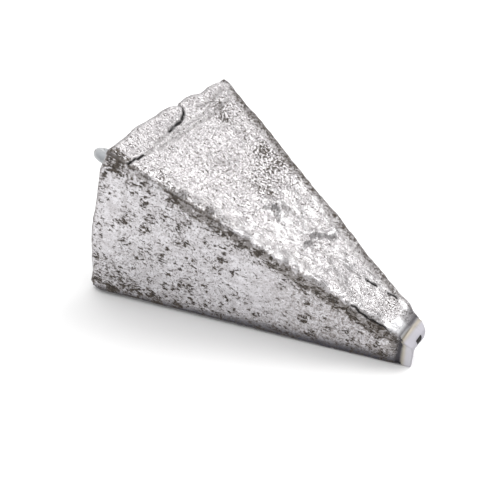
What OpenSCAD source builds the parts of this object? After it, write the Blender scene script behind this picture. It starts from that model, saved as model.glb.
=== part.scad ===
// Cast lead pyramid sinker with a wire line eye, lying on one of its four sides.
// The sinker is laid out along its own axis: X from the pour face to the nose, Y across, Z up.
// It is then tipped so that the lower side rests on the ground.

/* [Lead body] */
// Side of the square pour face, where the line eye comes out
base_side = 22; // [16:0.5:32]
// Side of the square nose end
end_side = 3.4; // [3:0.1:6]
// Length along the axis, from the corners of the pour face to the nose end
body_len = 37.5; // [28:0.5:60]
// Radius of the two upper long edges, battered round
upper_edge_r = 1.2; // [0.4:0.1:2]
// Radius of the two lower long edges, still crisp
lower_edge_r = 0.5; // [0.3:0.1:1]
// Greatest rise and fall of the uneven cast sides
unevenness = 0.12; // [0:0.02:0.3]
// Length of one rise and fall along the sides
unevenness_len = 11; // [8:0.5:20]

/* [Pour face] */
// Height of the set metal in the middle of the pour face above its corners
crown_h = 0.9; // [0.3:0.1:2]
// Radius where the pour face rolls over into the sides
rim_r = 0.5; // [0.3:0.05:0.8]
// Mean distance from the rim to the lap, where a second pour met the first
lap_dist = 2.4; // [2.2:0.1:3.5]
// How far the lap wanders to and fro round the body
lap_wander = 1; // [0:0.1:1.3]
// Width of the lap groove
lap_w = 0.7; // [0.4:0.05:0.9]
// Depth of the lap groove
lap_depth = 0.3; // [0.1:0.05:0.5]

/* [Nose] */
// Distance from the nose end back to the nipped neck
neck_dist = 1.9; // [1.4:0.1:3]
// Width of the neck groove
neck_w = 0.9; // [0.5:0.1:1.2]
// Depth of the neck groove
neck_depth = 0.2; // [0.05:0.05:0.4]
// How far the foot of the nose end stands ahead of its middle
end_slant = 0.4; // [0:0.05:0.8]
// Radius of the edge round the nose end
end_r = 0.25; // [0.1:0.05:0.5]
// Length of the open slot in the nose end, across it
slot_len = 1.4; // [0.6:0.1:2]
// Height of the slot
slot_h = 0.35; // [0.2:0.05:0.6]
// Depth of the slot
slot_depth = 1.1; // [0.4:0.1:2]
// Height of the slot above the axis
slot_up = 0.95; // [0:0.05:1.1]

/* [Line eye] */
// Diameter of the steel wire
wire_d = 1.4; // [1:0.1:2]
// Width of the loop over the outside of the wire
eye_w = 9; // [7:0.2:12]
// Reach of the loop from the corners of the pour face to its outer end
eye_reach = 9.3; // [8.5:0.1:14]
// Turn of the loop about the axis, from level
eye_turn = -35; // [-90:5:90]
// Droop of the loop below the axis
eye_droop = 5; // [0:0.5:8]
// Depth to which the two legs run straight into the lead
leg_depth = 11; // [7:0.5:15]
// Inside radius of the bend at the foot of each leg
foot_bend_r = 1.4; // [1:0.1:3]
// Length of each foot beyond its square bend
foot_len = 2; // [1:0.1:3]

/* [Hidden] */

// Facets of each round edge and each flat side of the body section
edge_facets = 4;
side_facets = 9;
ring_count = 4 * (edge_facets + side_facets);
// Greatest edge radius, as a share of the section's half width
edge_share = 0.4;
// Number of rings along the sides between the lap and the neck, less one
side_rings = 18;
// Rings of the pour face, as shares of its half width
face_shares = [0.12, 0.35, 0.6, 0.82];
// Angles of the rings over the rim and round the nose end
roll_angles = [0, 30, 60, 90];
// Signs of the four corners, from the far upper one round by the near upper one
corner_signs = [[1, 1], [-1, 1], [-1, -1], [1, -1]];
corner_radii = [upper_edge_r, upper_edge_r, lower_edge_r, lower_edge_r];
// The lap's double wave runs twice round the section and its single wave once: the angles at
// which they lie farthest from the rim, and their shares of the wander
lap_double_turn = 140;
lap_double_share = 1;
lap_single_turn = 260;
lap_single_share = 0.35;
// How much of the crown's curve and of the sides' unevenness shows at the lap
lap_crown_share = 0.2;
lap_uneven_share = 0.5;
// Where the plain sides begin and end, past the widest wander of the lap and before the neck
plain_start = lap_dist + (lap_double_share + lap_single_share) * lap_wander + 2 * lap_w;
plain_end = body_len - neck_dist - neck_w;
// Shares of the two waves that make the sides uneven, and the length of the short one
long_wave_share = 0.6;
short_wave_share = 0.4;
short_wave_len_share = 0.45;
short_wave_len = short_wave_len_share * unevenness_len;
// How fast the unevenness grows upwards from the side that the sinker rests on
uneven_growth_share = 0.75;
// What each number of a ring means, in RINGS below
PLACE = 0;
INSET = 1;
CROWN = 2;
LAP = 3;
SLANT = 4;
UNEVEN = 5;

base_half = base_side / 2;
end_half = end_side / 2;
// Angle between the axis and each side, by which the sinker is tipped to lie flat
tilt = atan((base_half - end_half) / body_len);
wire_r = wire_d / 2;
// Centre line of the loop, and the middle of its round end, measured outwards from the rim
loop_r = eye_w / 2 - wire_r;
loop_centre = eye_reach - wire_r - loop_r;
bend_r = foot_bend_r + wire_r;
wire_facets = 32;
arc_facets = 64;

// Place of the pour face's middle above the ground, and of the whole model's middle along it
face_x = base_half * sin(tilt);
face_z = base_half * cos(tilt);
rise = tilt - eye_droop;
loop_span = loop_r * sqrt(pow(cos(rise), 2) + pow(sin(rise) * sin(eye_turn), 2));
eye_x = face_x - loop_centre * cos(rise) - loop_span - wire_r;
nose_x = face_x + (body_len + end_slant) * cos(tilt) - end_half * sin(tilt);
middle_x = (eye_x + nose_x) / 2;

function half_at(s) = base_half + (end_half - base_half) * s / body_len;

// Ring of the section: index to the outward angle of its surface
function ring_corner(k) = floor(k / (edge_facets + side_facets));
function ring_step(k) = k % (edge_facets + side_facets);
function ring_angle(k) = 90 * (ring_corner(k) + min(1, ring_step(k) / edge_facets));

// One corner's arc point, for a section of half width h
function edge_r(j, h) = min(corner_radii[j], edge_share * h);
function arc_point(j, angle, h) =
    let (r = edge_r(j, h))
    [corner_signs[j][0] * (h - r) + r * cos(angle), corner_signs[j][1] * (h - r) + r * sin(angle)];

// Point k of the section with half width h: along an edge's arc, then along the next flat side
function section_point(k, h) =
    let (j = ring_corner(k), step = ring_step(k), turn = 90 * (j + 1))
    step <= edge_facets
        ? arc_point(j, ring_angle(k), h)
        : let (share = (step - edge_facets) / side_facets)
          (1 - share) * arc_point(j, turn, h) + share * arc_point((j + 1) % 4, turn, h);

// Height of the crown over the corners of the pour face, at a place given in half widths
function crown_at(place) = crown_h * (1 - (place[0] * place[0] + place[1] * place[1]) / 2);

// Distance of the lap from the rim, round the section
function lap_at(place) =
    let (turn = atan2(place[1], place[0]))
    max(rim_r + lap_w, lap_dist + lap_wander * (lap_double_share * cos(2 * (turn - lap_double_turn))
        + lap_single_share * cos(turn - lap_single_turn)));

// Unevenness of the cast sides, dying out towards the flat side that the sinker rests on
function uneven_at(s, place) =
    let (
        grown_share = min(1, uneven_growth_share * (1 + place[1])),
        y = place[0] * base_half,
        z = place[1] * base_half
    )
    unevenness * grown_share * (long_wave_share * sin(360 * (s + y - z / 2) / unevenness_len)
        + short_wave_share * sin(360 * (s - y + z) / short_wave_len));

// The rings of the loft. Each holds its place along the axis, how far it is drawn in from the
// taper, and the shares of the crown, the lap's path, the end's slant and the unevenness it takes
function face_ring(share) = [0, base_half * (1 - share) + rim_r * share, 1, 0, 0, 0];
function rim_ring(angle) = [rim_r * (1 - cos(angle)), rim_r * (1 - sin(angle)), 1, 0, 0, 0];
function lap_ring(offset, inset) = [offset, inset, lap_crown_share, 1, 0, lap_uneven_share];
function side_ring(share) = [plain_start + (plain_end - plain_start) * share, 0, 0, 0, share, 1];
function neck_ring(offset, inset) = [body_len - neck_dist + offset, inset, 0, 0, 1, 0];
function end_ring(angle) = [body_len - end_r * (1 - sin(angle)), end_r * (1 - cos(angle)), 0, 0, 1, 0];

RINGS = [
    for (share = face_shares) face_ring(share),
    for (angle = roll_angles) rim_ring(angle),
    lap_ring(-lap_w, 0),
    lap_ring(-lap_w / 2, 0),
    lap_ring(0, lap_depth),
    lap_ring(lap_w / 2, 0),
    for (i = [0 : side_rings]) side_ring(i / side_rings),
    neck_ring(0, neck_depth),
    neck_ring(neck_w / 2, 0),
    for (angle = roll_angles) end_ring(angle),
];

// Point k of one ring, moved along the axis by the crown, the lap and the slant of the end
function body_point(ring, k) =
    let (
        half = half_at(ring[PLACE]),
        place = section_point(k, half - ring[INSET]) / half,
        s = ring[PLACE] + ring[LAP] * lap_at(place) - ring[CROWN] * crown_at(place)
            - ring[SLANT] * end_slant * place[1],
        point = section_point(k, half_at(s) - ring[INSET]),
        lift = ring[UNEVEN] * uneven_at(s, place),
        angle = ring_angle(k)
    )
    [s, point[0] + lift * cos(angle), point[1] + lift * sin(angle)];

body_points = [
    for (ring = RINGS) for (k = [0 : ring_count - 1]) body_point(ring, k),
    [-crown_h, 0, 0],
    [body_len, 0, 0],
];
last_ring = len(RINGS) - 1;
face_middle = len(RINGS) * ring_count;
end_middle = face_middle + 1;

function ring_index(i, k) = i * ring_count + k % ring_count;
body_faces = [
    for (i = [0 : last_ring - 1]) for (k = [0 : ring_count - 1])
        [ring_index(i, k), ring_index(i + 1, k), ring_index(i + 1, k + 1)],
    for (i = [0 : last_ring - 1]) for (k = [0 : ring_count - 1])
        [ring_index(i, k), ring_index(i + 1, k + 1), ring_index(i, k + 1)],
    for (k = [0 : ring_count - 1]) [face_middle, ring_index(0, k), ring_index(0, k + 1)],
    for (k = [0 : ring_count - 1]) [end_middle, ring_index(last_ring, k + 1), ring_index(last_ring, k)],
];

// Lays the sinker on its lower side, with the middle of the whole model over the origin
module lying() {
    translate([face_x - middle_x, 0, face_z])
        rotate([0, tilt, 0])
            children();
}

// Half of the wire: a quarter of the loop, one leg, its square bend and its foot
module wire_side() {
    translate([loop_centre, 0, 0])
        rotate_extrude(angle = 90, $fn = arc_facets)
            translate([loop_r, 0])
                circle(r = wire_r, $fn = wire_facets);
    translate([-leg_depth, loop_r, 0])
        rotate([0, 90, 0])
            cylinder(r = wire_r, h = leg_depth + loop_centre, $fn = wire_facets);
    translate([-leg_depth, loop_r + bend_r, 0])
        rotate([0, 0, 180])
            rotate_extrude(angle = 90, $fn = arc_facets)
                translate([bend_r, 0])
                    circle(r = wire_r, $fn = wire_facets);
    translate([-leg_depth - bend_r, loop_r + bend_r, 0])
        rotate([-90, 0, 0])
            cylinder(r = wire_r, h = foot_len, $fn = wire_facets);
}

// Bent wire of the line eye, in the sinker's own frame
module wire() {
    rotate([0, -eye_droop, 0])
        mirror([1, 0, 0])
            rotate([eye_turn, 0, 0]) {
                wire_side();
                mirror([0, 1, 0])
                    wire_side();
            }
}

// Cold slot left open in the nose end
module nose_slot() {
    translate([body_len - slot_depth, -slot_len / 2, slot_up - slot_h / 2])
        cube([slot_depth + end_slant + end_r, slot_len, slot_h]);
}

module lead_body() {
    color([0.66, 0.65, 0.67])
        lying()
            difference() {
                polyhedron(points = body_points, faces = body_faces, convexity = 6);
                wire();
                nose_slot();
            }
}

module wire_eye() {
    color([0.52, 0.56, 0.62])
        lying()
            wire();
}

lead_body();
wire_eye();
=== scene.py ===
import math

import bpy
import numpy as np
from mathutils import Matrix, Vector


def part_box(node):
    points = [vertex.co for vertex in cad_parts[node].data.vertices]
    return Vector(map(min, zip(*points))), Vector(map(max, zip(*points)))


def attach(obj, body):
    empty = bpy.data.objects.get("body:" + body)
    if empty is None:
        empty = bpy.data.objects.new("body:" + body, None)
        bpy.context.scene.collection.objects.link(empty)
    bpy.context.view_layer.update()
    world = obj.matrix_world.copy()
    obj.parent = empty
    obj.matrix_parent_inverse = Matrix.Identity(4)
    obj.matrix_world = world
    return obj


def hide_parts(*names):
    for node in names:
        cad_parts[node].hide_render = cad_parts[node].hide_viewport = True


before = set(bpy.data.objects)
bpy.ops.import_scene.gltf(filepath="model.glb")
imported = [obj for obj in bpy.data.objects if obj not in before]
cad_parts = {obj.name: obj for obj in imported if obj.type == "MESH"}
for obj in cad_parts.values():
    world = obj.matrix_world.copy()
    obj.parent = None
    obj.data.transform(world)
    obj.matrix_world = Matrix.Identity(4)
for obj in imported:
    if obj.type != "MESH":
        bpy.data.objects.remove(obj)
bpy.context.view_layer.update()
mm = 0.001

# Table top and daylight tent
# A sheet of white card under a white fabric tent, the usual way to photograph small metal pieces. The light
# comes soft from all round, strongest from above at the back, where one panel adds to it.
card_half = 0.6
card_colour = (0.95, 0.95, 0.95, 1.0)
card_roughness = 0.9
card_specular = 0.1
tent_light = (1.0, 1.0, 1.0, 1.0)
tent_front_strength = 0.35
tent_back_strength = 1.51
tent_bright_way = (-0.44, 0.44, 0.78)
tent_fade_start = -0.5
tent_fade_end = 1.0
panel_place = Vector((0.105, 0.160, 0.300))
panel_aim = Vector((0.0, 0.0, 0.01))
panel_side = 0.16
panel_watts = 0.48
panel_light = (1.0, 0.99, 0.98)

card = bpy.data.meshes.new("table_card")
card_corners = [(-card_half, -card_half, 0), (card_half, -card_half, 0),
                (card_half, card_half, 0), (-card_half, card_half, 0)]
card.from_pydata(card_corners, [], [(0, 1, 2, 3)])
table_card = bpy.data.objects.new("table_card", card)
bpy.context.scene.collection.objects.link(table_card)
card_finish = bpy.data.materials.new("white_card")
card_finish.use_nodes = True
card_shader = card_finish.node_tree.nodes["Principled BSDF"]
card_shader.inputs["Base Color"].default_value = card_colour
card_shader.inputs["Roughness"].default_value = card_roughness
card_shader.inputs["Specular IOR Level"].default_value = card_specular
card.materials.append(card_finish)

tent = bpy.data.worlds.new("daylight_tent")
tent.use_nodes = True
tent_shader = tent.node_tree.nodes["Background"]
tent_shader.inputs["Color"].default_value = tent_light
looking = tent.node_tree.nodes.new("ShaderNodeTexCoord")
way = tent.node_tree.nodes.new("ShaderNodeVectorMath")
way.operation = "DOT_PRODUCT"
way.inputs[1].default_value = tent_bright_way
tent_fade = tent.node_tree.nodes.new("ShaderNodeMapRange")
tent_fade.inputs["From Min"].default_value = tent_fade_start
tent_fade.inputs["From Max"].default_value = tent_fade_end
tent_fade.inputs["To Min"].default_value = tent_front_strength
tent_fade.inputs["To Max"].default_value = tent_back_strength
tent.node_tree.links.new(looking.outputs["Generated"], way.inputs[0])
tent.node_tree.links.new(way.outputs["Value"], tent_fade.inputs["Value"])
tent.node_tree.links.new(tent_fade.outputs[0], tent_shader.inputs["Strength"])
bpy.context.scene.world = tent
bpy.context.scene.view_settings.view_transform = "Standard"

lamp = bpy.data.lights.new("back_panel", "AREA")
lamp.shape = "RECTANGLE"
lamp.size = panel_side
lamp.size_y = panel_side
lamp.energy = panel_watts
lamp.color = panel_light
back_panel = bpy.data.objects.new("back_panel", lamp)
back_panel.location = panel_place
back_panel.rotation_euler = (panel_aim - panel_place).to_track_quat("-Z", "Y").to_euler()
bpy.context.scene.collection.objects.link(back_panel)

# Camera
# A short macro lens looks down on the sinker from the nose end, on its near side. Its place was worked out
# from where the sinker's corners lie in the photograph, off the picture's middle, hence the two slides.
look_from_azimuth = math.radians(34.26)
look_from_height = math.radians(36.60)
camera_roll = math.radians(-0.23)
lens_mm = 60.25
sensor_mm = 36
nearest_seen = 0.005
aim_point = Vector((7.683, 0.0, 7.652)) * mm
aim_distance = 95.65 * mm
slide_right = -6.112 * mm
slide_up = 1.090 * mm

backwards = Vector((
    math.sin(look_from_azimuth) * math.cos(look_from_height),
    -math.cos(look_from_azimuth) * math.cos(look_from_height),
    math.sin(look_from_height),
))
level_right = Vector((math.cos(look_from_azimuth), math.sin(look_from_azimuth), 0.0))
level_up = backwards.cross(level_right)
camera_right = level_right * math.cos(camera_roll) + level_up * math.sin(camera_roll)
camera_up = level_up * math.cos(camera_roll) - level_right * math.sin(camera_roll)
lens = bpy.data.cameras.new("macro_lens")
lens.sensor_width = sensor_mm
lens.lens = lens_mm
lens.clip_start = nearest_seen
camera = bpy.data.objects.new("camera", lens)
camera_place = aim_point + backwards * aim_distance + camera_right * slide_right + camera_up * slide_up
turned = Matrix((camera_right, camera_up, backwards)).transposed().to_4x4()
camera.matrix_world = Matrix.Translation(camera_place) @ turned
bpy.context.scene.collection.objects.link(camera)
bpy.context.scene.camera = camera

# Lead body
# One lead casting, poured through its base in a two-part mould. The metal that came last met metal that
# had already set, so a lap runs round it near the pour face, and folds of half-set metal show towards
# the nose. It is soft, so its long edges are battered; dark oxide lies on it in specks, and its hollows
# and cracks are darkened with painted shade.

# Sizes are in millimetres. The body is made along its own axis, s from the corners of the pour face to the
# nose, y across to the far side and z upwards, and is laid on its lower side when its mesh is made
base_side = 22.0
end_side = 3.4
body_len = 37.5
edge_radii = np.array([0.45, 0.5, 0.5, 0.5])
edge_share = 0.4
block_edge_share = 0.3
block_half = 2.05
block_fade = 0.2
crown_h = 0.9
rim_r = 0.5
rim_len = 3.0
rim_wander = 0.16
end_slant = 0.4
end_r = 0.25
base_half = base_side / 2
end_half = end_side / 2
tilt = math.atan((base_half - end_half) / body_len)
face_middle_x = -13.583
face_middle = Vector((face_middle_x, 0, base_half * math.cos(tilt)))

# Points round the section: along each corner's arc and then along the next side. The corners are the far
# upper, near upper, near lower and far lower one, and the first side is the upper one
corner_signs = np.array([[1, 1], [-1, 1], [-1, -1], [1, -1]])
arc_steps = (8, 12, 10, 6)
side_steps = (152, 150, 42, 70)
round_start = []
round_end = []
round_share = []
round_turn = []
for corner in range(4):
    for step in range(arc_steps[corner]):
        round_start.append(corner)
        round_end.append(corner)
        round_share.append(0.0)
        round_turn.append(90 * (corner + step / arc_steps[corner]))
    for step in range(side_steps[corner]):
        round_start.append(corner)
        round_end.append((corner + 1) % 4)
        round_share.append(step / side_steps[corner])
        round_turn.append(90.0 * (corner + 1))
round_share = np.array(round_share)
round_turn = np.radians(round_turn)
round_count = len(round_turn)


def half_at(s):
    """Half width of the body at s along its axis."""
    return base_half + (end_half - base_half) * s / body_len


def section(half):
    """Places across and up of the points round the section, for half widths of any shape."""
    before_block = np.clip((half - block_half) / block_fade, 0, 1)
    widest = edge_share * half * (block_edge_share + (1 - block_edge_share) * before_block)
    places = []
    for axis, wave in ((0, np.cos(round_turn)), (1, np.sin(round_turn))):
        ends = []
        for corner in (round_start, round_end):
            radius = np.minimum(edge_radii[corner], widest)
            ends.append(corner_signs[corner, axis] * (half - radius) + radius * wave)
        places.append((1 - round_share) * ends[0] + round_share * ends[1])
    return places


# Rings from the middle of the pour face over the rim, down the sides and over the nose end. Each has its
# place along the axis, how far it is drawn in, and its turn: 0 faces out of the pour face, 90 sideways
face_rings = 26
rim_turn_step = 15
skin_step = 0.16
end_turn_step = 30
end_rings = 22
rings = []
for i in range(1, face_rings):
    rings.append((0.0, rim_r + (base_half - rim_r) * (1 - i / face_rings), 0.0))
for turn in range(0, 90, rim_turn_step):
    roll = math.radians(turn)
    rings.append((rim_r * (1 - math.cos(roll)), rim_r * (1 - math.sin(roll)), roll))
plain_len = body_len - end_r - rim_r
plain_rings = round(plain_len / skin_step)
for i in range(plain_rings + 1):
    rings.append((rim_r + plain_len * i / plain_rings, 0.0, math.pi / 2))
for turn in range(end_turn_step, 91, end_turn_step):
    roll = math.radians(turn)
    rings.append((body_len - end_r * (1 - math.sin(roll)), end_r * (1 - math.cos(roll)), math.pi / 2 + roll))
for i in range(1, end_rings):
    rings.append((body_len, end_r + (end_half - end_r) * i / end_rings, math.pi))
ring_s, ring_inset, ring_roll = [column.reshape(-1, 1) for column in np.array(rings).T]


def rise(value, low, high):
    """0 below low, 1 above high and a smooth rise between them."""
    share = np.clip((value - low) / (high - low), 0, 1)
    return share * share * (3 - 2 * share)


def bump_at(value, middle, width):
    """A smooth hump of height 1."""
    return np.exp(-(((value - middle) / width) ** 2))


seed_prime = 974711
cell_primes = (73856093, 19349663, 83492791)
stir_primes = (668265263, 374761393)
layer_fade = 1.7


def blobs(x, y, z, seed):
    """Smooth noise from -1 to 1, with about one blob to each unit."""
    cells = [np.floor(v).astype(np.int64) for v in (x, y, z)]
    shares = [v - cell for v, cell in zip((x, y, z), cells)]
    shares = [share * share * (3 - 2 * share) for share in shares]
    total = 0.0
    for steps in np.ndindex(2, 2, 2):
        key = seed * seed_prime
        weight = 1.0
        for cell, share, step, prime in zip(cells, shares, steps, cell_primes):
            key = key ^ ((cell + step) * prime)
            weight = weight * (share if step else 1 - share)
        for prime in stir_primes:
            key = key & 0x7FFFFFFF
            key = (key ^ (key >> 15)) * prime
        total = total + weight * ((key >> 12 & 0xFFFF) / 32767.5 - 1)
    return total


def crumple(x, y, z, size, seed, layers=3):
    """Layered noise whose largest blobs are about size millimetres across."""
    total = 0.0
    for layer in range(layers):
        fine = size / 2**layer
        total = total + blobs(x / fine, y / fine, z / fine, seed + layer) / layer_fade**layer
    return total


# Rim of the pour face as seen along the upper side: (place across, place along the axis)
upper_rim = [
    (-11.0, 0.1), (-8.7, 0.0), (-7.4, -0.1), (-5.3, -0.48), (-3.1, -0.4), (-1.9, -0.36), (-0.6, -0.55),
    (0.8, -0.45), (1.5, -0.2), (1.85, 0.3), (2.1, -0.25), (3.7, -0.4), (4.7, -0.3), (5.6, 0.0), (6.1, 0.12),
    (7.4, -0.05), (9.3, 0.1), (10.1, 0.35), (11.0, 1.2),
]
# and as seen along the near side: (place upwards, place along the axis)
near_rim = [
    (-11.0, 0.8), (-9.7, -0.25), (-7.8, -0.12), (-6.1, -0.33), (-4.5, -0.4), (-2.9, -0.6), (-1.2, -0.7),
    (0.4, -0.68), (2.0, -0.55), (5.0, -0.5), (8.0, -0.36), (9.7, 0.05), (11.0, 0.15),
]

# Plain shape of the body: taper, crown of the pour face, wandering rim and slanted nose end. The rim along
# the far and the lower side, which has no table, wanders at random
share_y, share_z = [place / half_at(ring_s) for place in section(half_at(ring_s) - ring_inset)]
out = np.maximum(np.abs(share_y), np.abs(share_z))
at_rim = 1 - rise(ring_s, rim_r, rim_len)
crown = crown_h * (1 - (share_y**2 + share_z**2) / 2)
upper_bow = np.interp(share_y * base_half, *np.array(upper_rim).T) + crown_h * (1 - share_y**2) / 2
near_bow = np.interp(share_z * base_half, *np.array(near_rim).T) + crown_h * (1 - share_z**2) / 2
other_bow = crumple(0 * out, share_y * base_half, share_z * base_half, size=2.6, seed=5, layers=2)
bow = np.where(share_y < -np.abs(share_z), near_bow, rim_wander * other_bow)
bow = np.where(share_z >= np.abs(share_y), upper_bow, bow) * rise(out, 0.6, 1.0)
s = ring_s - at_rim * (crown - bow) - rise(ring_s, 2, body_len - 3) * end_slant * share_z
half = half_at(s)
y, z = section(half - ring_inset)

# How far each point of the skin faces up, to the near side, to the far side, down, and to either end
every_point = 0 * s
up = np.clip(np.sin(round_turn), 0, 1) + every_point
near = np.clip(-np.cos(round_turn), 0, 1) + every_point
far = np.clip(np.cos(round_turn), 0, 1) + every_point
down = np.clip(-np.sin(round_turn), 0, 1) + every_point
sideways = np.sin(ring_roll) ** 2 + every_point
pour_face = np.clip(np.cos(ring_roll), 0, 1) + every_point
nose_end = np.clip(-np.cos(ring_roll), 0, 1) + every_point

# What the folds add up to: how far the skin stands out, the near-black painted shade of open cracks, and the
# painted shade in hollows.
# A fold narrows to end_width at its ends, and its lip stands lip_place widths beside it
end_width = 0.4
lip_place = 1.7
stray_size = 0.7
height = every_point.copy()
crease = every_point.copy()
hollow_shade = every_point.copy()


def fold(along, across, where, path, depth, width, lip=0.0, lip_w=0.4, lip_side=1,
         ends=0.8, ragged=0.12, dark=0.6):
    """Presses a fold into the skin along a path of (along, across) points, with a lip on one side.

    It fades over the length ends at both ends, and strays from the path by ragged. From 1 up, dark makes
    an open crack of it, painted near black as its shade, and below 1 a hollow with painted shade.
    """
    along = along + ragged * crumple(along, across, 0 * along, size=stray_size, seed=51, layers=2)
    across = across + ragged * crumple(along, across, 0 * along, size=stray_size, seed=53, layers=2)
    nearest = np.full(along.shape, np.inf)
    aside = 0 * along
    run = 0 * along
    walked = 0.0
    for (a0, b0), (a1, b1) in zip(path, path[1:]):
        length = math.hypot(a1 - a0, b1 - b0)
        step_a, step_b = (a1 - a0) / length, (b1 - b0) / length
        ahead = np.clip((along - a0) * step_a + (across - b0) * step_b, 0, length)
        off_a, off_b = along - a0 - ahead * step_a, across - b0 - ahead * step_b
        gap = np.hypot(off_a, off_b)
        closer = gap < nearest
        nearest = np.where(closer, gap, nearest)
        aside = np.where(closer, np.sign(step_a * off_b - step_b * off_a) * gap, aside)
        run = np.where(closer, walked + ahead, run)
        walked += length
    fade = rise(run, -0.01, ends) * rise(walked - run, -0.01, ends) * where
    width = width * (end_width + (1 - end_width) * fade)
    groove = np.exp(-((nearest / width) ** 2)) * fade
    ridge = bump_at(aside * lip_side, lip_place * width, lip_w) * (aside * lip_side > 0) * fade
    height[:] = height - depth * groove + lip * ridge
    if dark >= 1:
        crease[:] = np.maximum(crease, groove * dark)
    else:
        hollow_shade[:] = np.maximum(hollow_shade, groove * dark)


# Folds of the upper side, as (place along the axis, place across). First the crack that curls in from the
# rim, then the lap behind it with the crack at its near end
upper_skin = sideways * rise(up, 0.3, 0.8)
fold(s, y, upper_skin,
     [(0.15, 1.95), (0.8, 1.75), (1.4, 1.15), (1.8, 0.3), (2.02, -0.7), (2.12, -1.9), (2.2, -2.9)],
     depth=0.6, width=0.09, lip=0.2, lip_w=0.5, lip_side=-1, ends=0.8, ragged=0.05, dark=2.4)
fold(s, y, upper_skin, [(2.1, -1.7), (2.3, -3.6), (2.6, -5.2), (3.0, -6.6), (2.9, -8.0)],
     depth=0.14, width=0.14, lip=0.06, lip_w=0.4, lip_side=-1, dark=0.85)
fold(s, y, upper_skin, [(3.1, -7.4), (2.85, -8.2), (2.8, -9.0), (2.7, -10.8)],
     depth=0.3, width=0.085, lip=0.1, lip_side=-1, ends=0.5, dark=2.0)
fold(s, y, upper_skin,
     [(3.3, -6.4), (3.25, -3.4), (3.3, -1.0), (3.2, 1.6), (3.35, 3.75), (3.1, 6.0), (2.9, 9.0)],
     depth=0.12, width=0.13, lip=0.08, dark=0.65)
fold(s, y, upper_skin, [(2.7, -4.4), (2.75, -2.4), (2.6, 0.5), (2.7, 3.2), (2.3, 5.5)],
     depth=0.10, width=0.16, lip=0.05, dark=0.45)
fold(s, y, upper_skin, [(1.1, 9.5), (1.5, 7.5), (1.9, 6.0), (1.7, 4.2), (1.2, 2.8)],
     depth=0.12, width=0.25, lip=0.08, lip_w=0.5, dark=0.4)

# the folds of half-set metal halfway along
fold(s, y, upper_skin, [(15.6, -1.5), (15.9, -0.5), (16.3, 0.1), (16.9, -0.6), (17.5, -1.9)],
     depth=0.36, width=0.2, lip=0.2, lip_w=0.5, ragged=0.4, dark=0.42)
fold(s, y, upper_skin, [(16.3, 0.3), (17.0, 1.0), (18.3, 1.2), (19.6, 1.0), (21.2, 0.7)],
     depth=0.24, width=0.22, lip=0.1, lip_w=0.5, lip_side=-1, ragged=0.3, dark=0.85)
fold(s, y, upper_skin, [(21.3, -2.3), (21.5, -1.0), (21.75, 0.3), (22.1, 1.5), (22.9, 2.8), (24.0, 3.2)],
     depth=0.36, width=0.22, lip=0.3, lip_w=0.5, ends=1.4, ragged=0.4, dark=0.42)

# the lap that runs on to the nose, open in two places, and its branches
fold(s, y, upper_skin, [(22.4, -1.0), (23.2, -0.65), (24.4, -0.3), (26.2, 0.35), (28.0, 0.5), (28.9, 0.85)],
     depth=0.12, width=0.08, lip=0.08, lip_w=0.35, dark=0.6)
fold(s, y, upper_skin, [(28.3, 0.55), (28.9, 0.8), (29.7, 1.15), (30.5, 1.45)],
     depth=0.3, width=0.075, lip=0.16, lip_w=0.3, ends=0.8, ragged=0.09, dark=1.7)
fold(s, y, upper_skin, [(31.1, 1.65), (31.7, 1.85), (32.3, 1.95), (32.9, 1.9)],
     depth=0.24, width=0.07, lip=0.12, lip_w=0.3, ends=0.4, ragged=0.08, dark=1.3)
fold(s, y, upper_skin, [(23.8, -0.4), (24.8, -0.7), (26.3, -1.8), (28.2, -3.3)],
     depth=0.12, width=0.12, lip=0.1, lip_w=0.3, dark=0.55)
fold(s, y, upper_skin, [(25.4, -0.9), (26.6, -1.7), (28.4, -2.7), (29.8, -3.2)],
     depth=0.1, width=0.10, lip=0.08, lip_w=0.3, dark=0.45)

# and shallow rings near the pour face
fold(s, y, upper_skin, [(6.5, -1.5), (7.0, -0.5), (8.2, -0.9), (9.0, -0.2), (9.3, 1.6), (9.0, 3.0)],
     depth=0.06, width=0.14, ragged=0.4, dark=0.55)
fold(s, y, upper_skin, [(4.6, 3.3), (5.1, 5.0), (6.2, 6.3), (7.6, 6.8)],
     depth=0.06, width=0.12, ragged=0.25, dark=0.5)
fold(s, y, upper_skin, [(4.9, 2.9), (5.5, 4.6), (6.7, 5.7), (8.2, 5.9)],
     depth=0.06, width=0.12, ragged=0.25, dark=0.45)

# Folds of the near side, as (place along the axis, place upwards): the lap, then two creases and an open
# lip where the upper edge nears the nose
near_skin = sideways * rise(near, 0.3, 0.8)
fold(s, z, near_skin, [(2.9, 10.7), (2.95, 8.5), (3.15, 6.8)],
     depth=0.18, width=0.13, lip=0.06, dark=0.9)
fold(s, z, near_skin,
     [(3.1, 7.2), (3.15, 4.0), (3.1, 2.6), (2.7, -2.4), (2.25, -5.0), (2.3, -8.0), (2.6, -10.6)],
     depth=0.07, width=0.12, lip=0.04, dark=0.35)
fold(s, z, near_skin, [(28.3, 4.4), (30.3, 2.55), (31.5, 1.9), (32.5, 1.5), (33.2, 0.9)],
     depth=0.22, width=0.16, lip=0.2, lip_w=0.3, dark=0.6)
fold(s, z, near_skin, [(27.9, 3.9), (29.4, 2.7), (31.0, 1.8), (32.2, 1.1)],
     depth=0.16, width=0.14, lip=0.16, lip_w=0.3, dark=0.5)
fold(s, z, sideways * rise(near, 0.02, 0.4),
     [(27.8, 4.35), (30.0, 3.55), (32.0, 2.85), (34.0, 2.3), (35.6, 1.9)],
     depth=0.2, width=0.13, ends=2.5, ragged=0.18, dark=1.25)

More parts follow.
